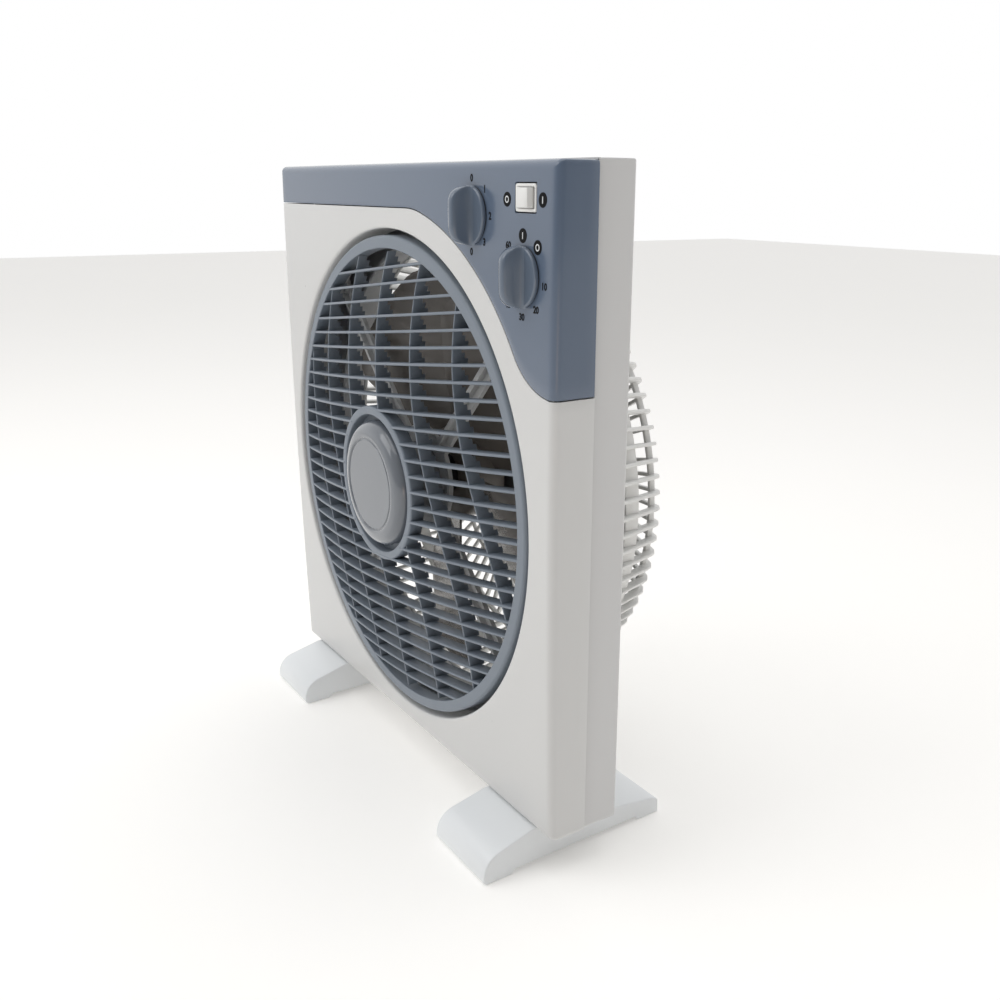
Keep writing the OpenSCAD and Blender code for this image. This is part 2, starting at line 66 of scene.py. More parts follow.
OPENING_R = 0.165
EDGE_R = 0.0048
CORNER_SQUARENESS = 5
CROWN = 0.0019
WALL = 0.0024
PANEL_T = 0.0021
EDGE_BREAK = 0.0003
SEAM_GAP = 0.0006
ROCKER_GAP = 0.00065
HOLE_REACH = 0.004
HOLE_CORNER_R = 0.0008
STRIP_Z = CASE_TOP - 0.026
SWEEP_R = 0.180
SWEEP_X = AXIS_X + 0.003
SWEEP_Z = AXIS_Z + 0.0005
FLARE_R = 0.046
STRIP_BLEND_R = 0.08


# ---- geometry helpers ----

def point(x, y, z):
    """A point from its x, its depth behind the case's front, and its height."""
    return Vector((x, FRONT_Y + y, z))


def on_axis(r, angle, y):
    """A point at radius r and an angle about the fan's axis, at depth y."""
    return point(AXIS_X + r * cos(angle), y, AXIS_Z + r * sin(angle))


def spread(a, b, count):
    """count steps from a to b, both ends included."""
    return [a + (b - a) * k / count for k in range(count + 1)]


def add_grid(bm, rows, closed=False):
    """Quads through rows of points; closed joins the last row to the first."""
    made = [[bm.verts.new(p) for p in row] for row in rows]
    after = made[1:] + made[:1] if closed else made[1:]
    for a, b in zip(made, after):
        for i in range(len(a) - 1):
            bm.faces.new((a[i], a[i + 1], b[i + 1], b[i]))


def turned(bm, section, steps=160):
    """A body turned about the fan's axis from a section of (radius, y)."""
    chain = section + [section[0]]
    rows = [[on_axis(r, 2 * pi * k / steps, y) for r, y in chain] for k in range(steps)]
    add_grid(bm, rows, closed=True)


def soft_box(u0, u1, v0, v1, r, steps=2):
    """A rectangle in two coordinates with rounded corners, as a closed list of points."""
    left, right, low, high = u0 + r, u1 - r, v0 + r, v1 - r
    corners = [(right, low, -pi / 2), (right, high, 0), (left, high, pi / 2), (left, low, pi)]
    turns = spread(0, pi / 2, steps)
    return [(u + r * cos(a + t), v + r * sin(a + t)) for u, v, a in corners for t in turns]


def ring(bm, r0, r1, y0, y1, soft=0.0005):
    """A soft-edged ring about the fan's axis."""
    turned(bm, soft_box(r0, r1, y0, y1, soft))


def loft(bm, loops, caps=True):
    """A skin through closed loops of points, with its two ends closed unless caps is off."""
    made = [[bm.verts.new(p) for p in loop] for loop in loops]
    count = len(loops[0])
    for a, b in zip(made, made[1:]):
        for i in range(count):
            bm.faces.new((a[i], a[(i + 1) % count], b[(i + 1) % count], b[i]))
    if caps:
        bm.faces.new(made[0][::-1])
        bm.faces.new(made[-1])


def turned_at(bm, x, z, section, steps=64):
    """A body turned about a line along Y through (x, z), from an open section of (radius, y)."""
    rows = []
    for k in range(steps):
        a = 2 * pi * k / steps
        rows.append([point(x + r * cos(a), y, z + r * sin(a)) for r, y in section])
    add_grid(bm, rows, closed=True)


def clean(bm, distance=1e-6):
    """Joins points that coincide and drops faces with no area."""
    bmesh.ops.remove_doubles(bm, verts=bm.verts, dist=distance)
    bmesh.ops.dissolve_degenerate(bm, edges=bm.edges, dist=distance)
    bmesh.ops.recalc_face_normals(bm, faces=bm.faces)


def linked(name, data):
    """An object with this data, linked into the scene."""
    obj = bpy.data.objects.new(name, data)
    bpy.context.scene.collection.objects.link(obj)
    return obj


def make_object(name, bm):
    """An object from a bmesh, linked into the scene."""
    mesh = bpy.data.meshes.new(name)
    bm.to_mesh(mesh)
    bm.free()
    return linked(name, mesh)


def evaluated_mesh(obj):
    """A mesh of the object with its modifiers applied."""
    bpy.context.view_layer.update()
    return bpy.data.meshes.new_from_object(obj.evaluated_get(bpy.context.evaluated_depsgraph_get()))


SHARP_ANGLE = 38


def smooth(mesh, sharp=SHARP_ANGLE):
    """Shades a mesh smooth between the edges that turn more than sharp degrees."""
    mesh.shade_smooth()
    mesh.set_sharp_from_angle(angle=radians(sharp))


def settle(obj, sharp=SHARP_ANGLE):
    """Applies the modifiers and shades the result smooth between sharp edges."""
    final = evaluated_mesh(obj)
    old = obj.data
    obj.modifiers.clear()
    obj.data = final
    bpy.data.meshes.remove(old)
    smooth(final, sharp)
    return obj


def add_solidify(obj, thickness, offset=-1):
    """Gives a skin its wall: inwards at -1, to both sides at 0."""
    mod = obj.modifiers.new("thickness", "SOLIDIFY")
    mod.thickness = thickness
    mod.offset = offset
    mod.use_even_offset = True


def add_bevel(obj, width, segments=2, angle=40):
    """Softens the edges that turn more than angle degrees."""
    mod = obj.modifiers.new("edges", "BEVEL")
    mod.width = width
    mod.segments = segments
    mod.limit_method = "ANGLE"
    mod.angle_limit = radians(angle)


def add_cutter(obj, name, bm):
    """A modifier that takes a closed shape out of an object, and the shape's own object."""
    cutter = make_object(name, bm)
    cut = obj.modifiers.new(name, "BOOLEAN")
    cut.object = cutter
    cut.solver = "EXACT"
    return cutter


def piece(obj, body, slot, material, *replaced):
    """Gives a finished object its body and material and hides the CAD nodes it stands for. The slot is not
    used.
    """
    obj.data.materials.clear()
    obj.data.materials.append(material)
    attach(obj, body)
    if replaced:
        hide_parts(*replaced)
    return obj


# ---- materials ----

def node_material(name):
    """A new material, its node tree and its shader."""
    mat = bpy.data.materials.new(name)
    mat.use_nodes = True
    return mat, mat.node_tree, mat.node_tree.nodes["Principled BSDF"]


def noise(tree, scale, detail=2):
    """The strength of a noise over the object's own space."""
    coords = tree.nodes.new("ShaderNodeTexCoord")
    texture = tree.nodes.new("ShaderNodeTexNoise")
    texture.inputs["Scale"].default_value = scale
    texture.inputs["Detail"].default_value = detail
    tree.links.new(coords.outputs["Object"], texture.inputs["Vector"])
    return texture.outputs["Fac"]


def colour_between(tree, factor, low, high):
    """A mix of two colours steered by a factor socket."""
    mix = tree.nodes.new("ShaderNodeMix")
    mix.data_type = "RGBA"
    mix.inputs["A"].default_value = (*low, 1)
    mix.inputs["B"].default_value = (*high, 1)
    tree.links.new(factor, mix.inputs["Factor"])
    return mix.outputs["Result"]


def value_between(tree, factor, low, high):
    """A number that goes from low to high with a factor socket."""
    ramp = tree.nodes.new("ShaderNodeMapRange")
    ramp.inputs["To Min"].default_value = low
    ramp.inputs["To Max"].default_value = high
    tree.links.new(factor, ramp.inputs["Value"])
    return ramp.outputs["Result"]


def add_bump(tree, shader, height, strength):
    """Fine relief in the normal from a height socket."""
    bump = tree.nodes.new("ShaderNodeBump")
    bump.inputs["Strength"].default_value = strength
    bump.inputs["Distance"].default_value = GRAIN_DEPTH
    tree.links.new(height, bump.inputs["Height"])
    tree.links.new(bump.outputs["Normal"], shader.inputs["Normal"])


def srgb(r, g, b):
    """Linear colour from 0-255 display values."""
    shares = (r / 255, g / 255, b / 255)
    return tuple(((c + 0.055) / 1.055) ** 2.4 if c > 0.04 else c / 12.92 for c in shares)


def tint_drift(tree, shader, drift, colour, spread_of):
    """A base colour that drifts by a share either way with a noise."""
    low, high = (tuple(c * factor for c in colour) for factor in (1 - spread_of, 1 + spread_of))
    tree.links.new(colour_between(tree, drift, low, high), shader.inputs["Base Color"])


GRAIN_DEPTH = 0.0002
PLASTIC_GRAIN = 900
METAL_DRIFT = 60
METAL_GRAIN = 600
SMOKE_DRIFT = 18
SMOKE_GRAIN = 500
SMOKE_ALPHA = 0.88


def moulded_plastic(name, colour, roughness=0.3, spread_of=0.05, mottle=9, coat=0.0, specular=0.5):
    """Injection-moulded plastic: faint tone drift, flow marks in the gloss, fine grain in the normal."""
    mat, tree, shader = node_material(name)
    tint_drift(tree, shader, noise(tree, mottle, 4), colour, spread_of)
    gloss = value_between(tree, noise(tree, mottle * 4), roughness * 0.8, roughness * 1.25)
    tree.links.new(gloss, shader.inputs["Roughness"])
    add_bump(tree, shader, noise(tree, PLASTIC_GRAIN), 0.06)
    shader.inputs["Specular IOR Level"].default_value = specular
    shader.inputs["Coat Weight"].default_value = coat
    shader.inputs["Coat Roughness"].default_value = 0.08
    shader.inputs["IOR"].default_value = 1.5
    return mat


def metal(name, colour, roughness=0.35):
    """Bare metal: drifting tone and gloss, and fine grain in the normal."""
    mat, tree, shader = node_material(name)
    drift = noise(tree, METAL_DRIFT, 3)
    tint_drift(tree, shader, drift, colour, 0.08)
    gloss = value_between(tree, drift, roughness * 0.7, roughness * 1.3)
    tree.links.new(gloss, shader.inputs["Roughness"])
    add_bump(tree, shader, noise(tree, METAL_GRAIN), 0.1)
    shader.inputs["Metallic"].default_value = 1.0
    return mat


def smoky_plastic(name, colour):
    """Thin tinted blade plastic that lets some light through."""
    mat, tree, shader = node_material(name)
    drift = noise(tree, SMOKE_DRIFT, 3)
    tint_drift(tree, shader, drift, colour, 0.1)
    tree.links.new(value_between(tree, drift, 0.18, 0.32), shader.inputs["Roughness"])
    add_bump(tree, shader, noise(tree, SMOKE_GRAIN), 0.05)
    shader.inputs["Alpha"].default_value = SMOKE_ALPHA
    return mat


WHITE = moulded_plastic("white_shell_plastic", srgb(214, 214, 213), 0.3, 0.015, coat=0.15)
REAR_WHITE = moulded_plastic("rear_shell_plastic", srgb(212, 212, 212), 0.34, 0.015, coat=0.1)
FOOT_WHITE = moulded_plastic("foot_plastic", srgb(236, 239, 241), 0.3, 0.015, coat=0.15)
GUARD_WHITE = moulded_plastic("guard_plastic", srgb(232, 232, 230), 0.32, 0.02, coat=0.1)
PANEL_GREY = moulded_plastic("panel_plastic", srgb(91, 105, 125), 0.2, 0.06, mottle=6, coat=0.4)
LOUVER_GREY = moulded_plastic("louver_plastic", srgb(124, 133, 144), 0.4, 0.04)
CAP_GREY = moulded_plastic("cap_plastic", srgb(114, 119, 126), 0.14, 0.05, mottle=14, coat=0.5)
KNOB_GREY = moulded_plastic("knob_plastic", srgb(98, 110, 126), 0.22, 0.03, coat=0.4)
SWITCH_WHITE = moulded_plastic("switch_plastic", srgb(236, 236, 234), 0.3, 0.015)
SMOKE = smoky_plastic("blade_plastic", srgb(126, 120, 114))
CREAM = moulded_plastic("body_plastic", srgb(222, 214, 196), 0.45, 0.03)
BLACK = moulded_plastic("black_plastic", srgb(32, 32, 34), 0.45, 0.1)
INK = moulded_plastic("printed_black", srgb(14, 15, 18), 0.6, 0.1, specular=0.15)
MARK_WHITE = moulded_plastic("printed_white", srgb(225, 228, 230), 0.45, 0.03)
ZINC = metal("zinc_metal", srgb(180, 182, 186))
STEEL = metal("ground_metal", srgb(190, 190, 192), 0.22)
CORE = metal("core_metal", srgb(110, 112, 116), 0.5)
ALLOY = metal("alloy_metal", srgb(170, 172, 174), 0.5)
COPPER = metal("copper_metal", srgb(196, 120, 74), 0.35)
BRONZE = metal("bronze_metal", srgb(170, 128, 78), 0.45)

CAD_LOOKS = {
    "case_screws": ZINC, "guard_screws": ZINC, "louver_shaft": STEEL, "louver_screw": ZINC,
    "louver_motor": ALLOY, "louver_motor_screws": ZINC, "front_spider": WHITE, "spider_screws": ZINC,
    "fan_blade": SMOKE, "blade_nut": BLACK, "motor_shaft": STEEL, "rotor": CORE, "stator": CORE,
    "windings": COPPER, "motor_front_cover": ALLOY, "motor_rear_cover": ALLOY, "shaft_bushes": BRONZE,
    "motor_tie_screws": ZINC, "motor_mount_screws": ZINC, "speed_switch": CREAM, "speed_spindle": STEEL,
    "speed_knob": KNOB_GREY, "timer_unit": CREAM, "timer_spindle": STEEL, "timer_knob": KNOB_GREY,
    "switch_screws": ZINC, "rocker_housing": SWITCH_WHITE, "rocker_paddle": SWITCH_WHITE,
    "capacitor": CREAM, "cord_gland": BLACK, "wiring": BLACK, "foot_left": FOOT_WHITE,
    "foot_right": FOOT_WHITE, "foot_screws": ZINC, "front_shell": WHITE, "control_panel": PANEL_GREY,
    "rear_shell": REAR_WHITE, "rear_guard": GUARD_WHITE, "louver_disc": LOUVER_GREY, "louver_cap": CAP_GREY,
}


def dress_cad_nodes():
    """Puts a material on every slot of every CAD node."""
    for name, look in CAD_LOOKS.items():
        mesh = NODES[name].data
        for i in range(len(mesh.materials)):
            mesh.materials[i] = look


# ---- camera, light and floor ----

CAMERA_AT = Vector((0.6188, -0.3432, 0.3953))
CAMERA_AZIMUTH = radians(55.96)
CAMERA_ELEVATION = radians(17.93)
CAMERA_ROLL = radians(0.425)
CAMERA_LENS = 37.666
CAMERA_SHIFT = (-0.0384, 0.0259)


def make_camera():
    """The camera at the photograph's viewing angle."""
    back = Vector((sin(CAMERA_AZIMUTH) * cos(CAMERA_ELEVATION),
                   -cos(CAMERA_AZIMUTH) * cos(CAMERA_ELEVATION), sin(CAMERA_ELEVATION)))
    right = (-back).cross(Vector((0, 0, 1))).normalized()
    up = right.cross(-back)
    c, s = cos(CAMERA_ROLL), sin(CAMERA_ROLL)
    turned_right = right * c + up * s
    turned_up = up * c - right * s
    data = bpy.data.cameras.new("camera")
    data.sensor_width = 36
    data.lens = CAMERA_LENS
    data.shift_x, data.shift_y = CAMERA_SHIFT
    data.clip_start = 0.01
    cam = linked("camera", data)
    turn = Matrix((turned_right, turned_up, back)).transposed().to_4x4()
    cam.matrix_world = Matrix.Translation(CAMERA_AT) @ turn
    bpy.context.scene.camera = cam


def area_light(name, at, target, size, power, colour=(1, 1, 1)):
    """A soft square light that faces its target."""
    data = bpy.data.lights.new(name, "AREA")
    data.energy = power
    data.color = colour
    data.shape = "SQUARE"
    data.size = size
    light = linked(name, data)
    light.location = at
    light.rotation_euler = (Vector(target) - Vector(at)).to_track_quat("-Z", "Y").to_euler()


DIM_SIDE = (0.85, -0.53, 0)
DIM_FROM, DIM_TO = -0.6, 0.9
SIDE_DIM = 0.17
FLOOR_HALF = 6
FLOOR_GLOW = 0.16
AIM = (0, 0, 0.2)
LOW_AIM = (0.1, 0, 0.1)
LOW_WARM = (1.0, 0.68, 0.45)


def make_surround():
    """A white surround that grows dimmer towards one side."""
    world = bpy.data.worlds.new("studio")
    bpy.context.scene.world = world
    world.use_nodes = True
    tree = world.node_tree
    background = tree.nodes["Background"]
    coords = tree.nodes.new("ShaderNodeTexCoord")
    side = tree.nodes.new("ShaderNodeVectorMath")
    side.operation = "DOT_PRODUCT"
    side.inputs[1].default_value = DIM_SIDE
    tree.links.new(coords.outputs["Generated"], side.inputs[0])
    fade = tree.nodes.new("ShaderNodeMapRange")
    fade.interpolation_type = "SMOOTHSTEP"
    fade.inputs["From Min"].default_value = DIM_FROM
    fade.inputs["From Max"].default_value = DIM_TO
    fade.inputs["To Min"].default_value = 1.0
    fade.inputs["To Max"].default_value = SIDE_DIM
    tree.links.new(side.outputs["Value"], fade.inputs["Value"])
    tree.links.new(fade.outputs["Result"], background.inputs["Strength"])
    background.inputs["Color"].default_value = (1, 1, 1, 1)


def make_floor():
    """A pale paper floor with a faint glow."""
    bm = bmesh.new()
    bmesh.ops.create_grid(bm, x_segments=1, y_segments=1, size=FLOOR_HALF)
    floor = make_object("floor", bm)
    mat, tree, shader = node_material("floor_paper")
    tint = colour_between(tree, noise(tree, 3), (0.95, 0.94, 0.92), (0.97, 0.96, 0.94))
    tree.links.new(tint, shader.inputs["Base Color"])
    shader.inputs["Roughness"].default_value = 0.8
    shader.inputs["Emission Color"].default_value = (1, 0.98, 0.95, 1)
    shader.inputs["Emission Strength"].default_value = FLOOR_GLOW
    floor.data.materials.append(mat)


def make_studio():
    """The surround, the floor, a light high in front, one overhead and a low warm one at the side."""
    bpy.context.scene.view_settings.view_transform = "Standard"
    make_surround()
    make_floor()
    area_light("key_light", at=(-0.5, -1.5, 1.7), target=AIM, size=1.3, power=10.2)
    area_light("top_light", at=(0.3, -0.2, 1.9), target=AIM, size=1.4, power=8)
    area_light("low_light", at=(1.0, -0.5, 0.12), target=LOW_AIM, size=0.3, power=0.25, colour=LOW_WARM)


# ---- case ----

def crown(z):
    """How far the front bulges forward at a height."""
    middle = (CASE_TOP + CASE_FOOT) / 2
    return -CROWN * (1 - ((z - middle) / (CASE_TOP - middle)) ** 2)


def face_point(x, z, y=0.0):
    """A point on the crowned front face, y behind it."""
    return point(x, crown(z) + y, z)


SIDE_ANGLE = {"right": 0, "bottom": -pi / 2, "left": -pi, "top": -3 * pi / 2}
CORNER_FAN = 6
EDGE_STEPS = 6


def walk(rect, legs):
    """Places and outward directions clockwise along a rectangle, each corner turned in a fan."""
    left, right, bottom, top = rect
    stops = []
    for i, (side, stations) in enumerate(legs):
        angle = SIDE_ANGLE[side]
        for t in stations:
            places = {"right": (right, t), "left": (left, t), "bottom": (t, bottom), "top": (t, top)}
            stops.append((places[side], angle))
        if i < len(legs) - 1:
            stops += [(stops[-1][0], angle - pi / 2 * k / CORNER_FAN) for k in range(1, CORNER_FAN)]
    return stops


def places_of(stops):
    """The different places along a walk."""
    found = []
    for place, _ in stops:
        if not found or hypot(place[0] - found[-1][0], place[1] - found[-1][1]) > 1e-7:
            found.append(place)
    return found


def corner_reach(angle):
    """How much further than along a side a squarish corner reaches at an angle."""
    n = CORNER_SQUARENESS
    return (abs(cos(angle)) ** n + abs(sin(angle)) ** n) ** (-1 / n)


def edge_chain(place, angle, radius, face_y, seam_y, bulge, wall_steps=3):
    """From the flat face round the case's edge and along its side to the seam."""
    x, z = place
    chain = []
    back = 1 if seam_y > face_y else -1
    reach = radius * corner_reach(angle)
    side_x, side_z = x + reach * cos(angle), z + reach * sin(angle)
    for a in spread(0, pi / 2, EDGE_STEPS):
        out = reach * sin(a)
        y = face_y + back * radius * (1 - cos(a))
        px, pz = x + out * cos(angle), z + out * sin(angle)
        chain.append(point(px, y + bulge(pz), pz))
    wall_y = face_y + back * radius
    for t in spread(0, 1, wall_steps)[1:]:
        y = wall_y + (seam_y - wall_y) * t + bulge(side_z) * (1 - t)
        chain.append(point(side_x, y, side_z))
    return chain


def arc(x, z, r, angles):
    """Places on a circle."""
    return [(x + r * cos(a), z + r * sin(a)) for a in angles]


PANEL_ARC_STEPS = 14


def panel_boundary(grow):
    """The panel's lower edge as (x, z), from the right side of the case to the left, grown outwards."""
    low, strip = PANEL_SIDE_Z - grow, STRIP_Z - grow
    flare, sweep, blend = FLARE_R + grow, SWEEP_R - grow, STRIP_BLEND_R - grow
    left, right = CASE_LOW.x + EDGE_R, CASE_HIGH.x - EDGE_R
    fz = low + flare
    fx = SWEEP_X + sqrt((sweep + flare) ** 2 - (fz - SWEEP_Z) ** 2)
    bz = strip - blend
    bx = SWEEP_X + sqrt((sweep - blend) ** 2 - (bz - SWEEP_Z) ** 2)
    touch = atan2(fz - SWEEP_Z, fx - SWEEP_X)
    leave = atan2(bz - SWEEP_Z, bx - SWEEP_X)
    start = -pi / 2 - asin((fx - right) / flare)
    steps = PANEL_ARC_STEPS
    points = arc(fx, fz, flare, spread(start, touch - pi, steps))
    points += arc(SWEEP_X, SWEEP_Z, sweep, spread(touch, leave, 3 * steps)[1:])
    points += arc(bx, bz, blend, spread(leave, pi / 2, steps)[1:])
    points += [(x, strip) for x in spread(bx, left, 3 * steps)[1:]]
    return points


LIP_STEPS = 5
FACE_STEPS = 12


def opening_chain(angle, radius, lip, deep_y):
    """From deep inside the round opening forwards and over its lip on to the crowned face."""
    chain = [(radius, deep_y), (radius, (deep_y + lip) / 2)]
    chain += [(radius + lip * (1 - cos(a)), lip * (1 - sin(a))) for a in spread(0, pi / 2, LIP_STEPS)]
    z = AXIS_Z + radius * sin(angle)
    return [on_axis(r, angle, y + crown(z) * (1 - y / deep_y)) for r, y in chain]


def face_rays(outer, radius, lip, deep_y):
    """Rows of points from the opening's wall out to each place of the outer edge."""
    rows = []
    for x, z in outer:
        angle = atan2(z - AXIS_Z, x - AXIS_X)
        row = opening_chain(angle, radius, lip, deep_y)
        near = radius + lip
        far = hypot(x - AXIS_X, z - AXIS_Z)
        for r in spread(near, far, FACE_STEPS)[1:]:
            px, pz = AXIS_X + r * cos(angle), AXIS_Z + r * sin(angle)
            row.append(point(px, crown(pz), pz))
        rows.append(row)
    return rows


FACE_RECT = (CASE_LOW.x + EDGE_R, CASE_HIGH.x - EDGE_R, CASE_FOOT + EDGE_R, CASE_TOP - EDGE_R)
LIP_R = 0.0018
OPENING_DEPTH = 0.020
SIDE_STEPS = 40
LONG_STEPS = 54
PANEL_LEVELS = 14


def make_front_shell():
    """White front moulding: crowned face, rolled edges, side walls and the wall of the round opening."""
    left, right, bottom, _ = FACE_RECT
    gap = SEAM_GAP / 2
    stops = walk(FACE_RECT, [("right", spread(PANEL_SIDE_Z - gap, bottom, SIDE_STEPS)),
                             ("bottom", spread(right, left, LONG_STEPS)),
                             ("left", spread(bottom, STRIP_Z - gap, LONG_STEPS))])
    outer = places_of(stops) + panel_boundary(gap)[-2:0:-1]
    bm = bmesh.new()
    add_grid(bm, face_rays(outer, OPENING_R, LIP_R, OPENING_DEPTH), closed=True)
    add_grid(bm, [edge_chain(p, a, EDGE_R, 0, SEAM_Y - gap, crown) for p, a in stops])
    clean(bm)
    obj = make_object("shell_front", bm)
    add_solidify(obj, WALL)
    add_bevel(obj, EDGE_BREAK)
    settle(obj)
    return piece(obj, "case", "case_white", WHITE, "front_shell")


def cut_rocker_hole(obj):
    """Opens the panel for the rocker's frame, with a narrow gap round it."""
    low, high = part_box("rocker_housing")
    grow = ROCKER_GAP
    outline = soft_box(low.x - grow, high.x + grow, low.z - grow, high.z + grow, HOLE_CORNER_R)
    bm = bmesh.new()
    loft(bm, [[point(x, y, z) for x, z in outline] for y in (-HOLE_REACH, HOLE_REACH)])
    clean(bm)
    return add_cutter(obj, "rocker_cutter", bm)


def shares_along(places):
    """How far along a run of places each one lies, from 0 to 1."""
    run = [0]
    for (xa, za), (xb, zb) in zip(places, places[1:]):
        run.append(run[-1] + hypot(xb - xa, zb - za))
    return [r / run[-1] for r in run]


def make_control_panel():
    """Grey panel: the strip across the top and the swept shoulder that carries the controls."""
    left, right, _, top = FACE_RECT
    gap = SEAM_GAP / 2
    low_edge = panel_boundary(-gap)
    share = shares_along(low_edge)
    first, last = low_edge[0], low_edge[-1]
    rows = []
    for (bx, bz), u in zip(low_edge, share):
        row = []
        for v in spread(0, 1, PANEL_LEVELS):
            tx = right + (left - right) * u
            rz = first[1] + (top - first[1]) * v
            lz = last[1] + (top - last[1]) * v
            x = (1 - v) * bx + v * tx
            z = (1 - v) * bz + v * top + (1 - u) * rz + u * lz
            z -= (1 - v) * ((1 - u) * first[1] + u * last[1]) + v * top
            row.append(point(x, crown(z), z))
        rows.append(row)
    bm = bmesh.new()
    add_grid(bm, rows)
    across = [right + (left - right) * u for u in reversed(share)]
    stops = walk(FACE_RECT, [("left", spread(last[1], top, PANEL_LEVELS)),
                             ("top", across),
                             ("right", spread(top, first[1], PANEL_LEVELS))])
    add_grid(bm, [edge_chain(p, a, EDGE_R, 0, SEAM_Y - gap, crown) for p, a in stops])
    clean(bm, 2e-5)
    obj = make_object("panel_controls", bm)
    add_solidify(obj, PANEL_T)
    add_bevel(obj, EDGE_BREAK)
    cutter = cut_rocker_hole(obj)
    settle(obj)
    bpy.data.objects.remove(cutter)
    return piece(obj, "case", "panel_grey", PANEL_GREY, "control_panel")


REAR_EDGE_R = 0.0022
SHROUD_R = 0.157
SHROUD_LIP = 0.002
SHROUD_FRONT_Y = 0.032
CASE_SCREWS = [(0.17, CASE_TOP - 0.016), (-0.17, CASE_TOP - 0.016), (0.04, CASE_TOP - 0.014),
               (-0.06, CASE_TOP - 0.014), (0.168, CASE_FOOT + 0.015), (-0.168, CASE_FOOT + 0.015),
               (0.095, CASE_FOOT + 0.014), (-0.095, CASE_FOOT + 0.014)]
SCREW_WELL_R = 0.0044
WELL_WALL = 0.0015
WELL_SINK = 0.002
WELL_FLOOR_Y = SEAM_Y + 0.008
WELL_BACK_Y = SEAM_Y + 0.006
REAR_SIDE_STEPS = 44
SHROUD_LIP_STEPS = 4


def flat_bulge(_):
    """No bulge at any height, for the flat back."""
    return 0.0


def shroud_chain(x, z):
    """From inside the rear shell's round shroud over its lip and along the back to a place on the edge."""
    section = [(SHROUD_R, SHROUD_FRONT_Y), (SHROUD_R, REAR_Y - SHROUD_LIP * 2)]
    section += [(SHROUD_R + SHROUD_LIP * (1 - cos(a)), REAR_Y - SHROUD_LIP * (1 - sin(a)))
                for a in spread(0, pi / 2, SHROUD_LIP_STEPS)]
    far = hypot(x - AXIS_X, z - AXIS_Z)
    section += [(r, REAR_Y) for r in spread(SHROUD_R + SHROUD_LIP, far, 8)[1:]]
    angle = atan2(z - AXIS_Z, x - AXIS_X)
    return [on_axis(r, angle, y) for r, y in section]


def cut_wells(obj):
    """Opens the back for each case screw."""
    near, far = REAR_Y - 2 * WELL_SINK, REAR_Y + WELL_SINK
    bm = bmesh.new()
    for x, z in CASE_SCREWS:
        turned_at(bm, x, z, [(0, near), (SCREW_WELL_R, near), (SCREW_WELL_R, far), (0, far)], 32)
    clean(bm)
    return add_cutter(obj, "well_cutter", bm)


def add_wells(mesh):
    """Adds a cup behind the back for each case screw."""
    outer, rim_y = SCREW_WELL_R + WELL_WALL, REAR_Y - WELL_SINK
    section = [(0, WELL_FLOOR_Y), (SCREW_WELL_R, WELL_FLOOR_Y), (SCREW_WELL_R, rim_y),
               (outer, rim_y), (outer, WELL_BACK_Y), (0, WELL_BACK_Y)]
    bm = bmesh.new()
    bm.from_mesh(mesh)
    for x, z in CASE_SCREWS:
        turned_at(bm, x, z, section, 32)
    bmesh.ops.remove_doubles(bm, verts=bm.verts, dist=1e-7)
    bm.to_mesh(mesh)
    bm.free()


def make_rear_shell():
    """White rear moulding with a round shroud and a well for each case screw."""
    rect = (REAR_LOW.x + REAR_EDGE_R, REAR_HIGH.x - REAR_EDGE_R,
            REAR_LOW.z + REAR_EDGE_R, REAR_HIGH.z - REAR_EDGE_R)
    left, right, bottom, top = rect
    steps = REAR_SIDE_STEPS
    stops = walk(rect, [("right", spread(top, bottom, steps)), ("bottom", spread(right, left, steps)),
                        ("left", spread(bottom, top, steps)), ("top", spread(left, right, steps))])
    last_turns = [SIDE_ANGLE["top"] - pi / 2 * k / CORNER_FAN for k in range(1, CORNER_FAN + 1)]
    last_place = stops[-1][0]
    stops += [(last_place, angle) for angle in last_turns]
    seam_y = SEAM_Y + SEAM_GAP / 2
    bm = bmesh.new()
    add_grid(bm, [shroud_chain(x, z) for x, z in places_of(stops)[:-1]], closed=True)
    add_grid(bm, [edge_chain(p, a, REAR_EDGE_R, REAR_Y, seam_y, flat_bulge, 2) for p, a in stops])
    clean(bm)
    obj = make_object("shell_rear", bm)
    add_solidify(obj, WALL)
    add_bevel(obj, EDGE_BREAK)
    cutter = cut_wells(obj)
    settle(obj)
    bpy.data.objects.remove(cutter)
    add_wells(obj.data)
    smooth(obj.data)
    return piece(obj, "case", "case_white", REAR_WHITE, "rear_shell")


# ---- rear guard ----

GUARD_RIBS = 90
GUARD_RIB_W = 0.0024
# From the flange to the centre: the rib's outer and inner edge, each as (radius, y).
GUARD_PATH = [((0.1630, REAR_Y + 0.0005), (0.1580, REAR_Y + 0.0005)), ((0.1563, 0.0750), (0.1511, 0.0745)),
              ((0.1492, 0.1045), (0.1441, 0.1035)), ((0.1478, 0.1082), (0.1432, 0.1055)),
              ((0.1447, 0.1106), (0.1415, 0.1073)), ((0.1400, 0.1112), (0.1385, 0.1078)),
              ((0.0950, 0.1121), (0.0950, 0.1087)), ((0.0500, 0.1130), (0.0500, 0.1095))]
GUARD_FLANGE = (0.157, 0.172, REAR_Y + 0.0001, REAR_Y + 0.0025, 0.0006)
GUARD_HOOPS = [(0.1485, 0.151, 0.079, 0.089), (0.1415, 0.144, 0.1035, 0.1075),
               (0.110, 0.1125, 0.1083, 0.1113), (0.078, 0.0805, 0.109, 0.112)]
GUARD_PLATE = [(0, 0.108), (0.0515, 0.108), (0.052, 0.1085), (0.052, 0.1122), (0.0512, 0.113),
               (0.0305, 0.113), (0.0297, 0.1138), (0.029, 0.114), (0.0, 0.114)]


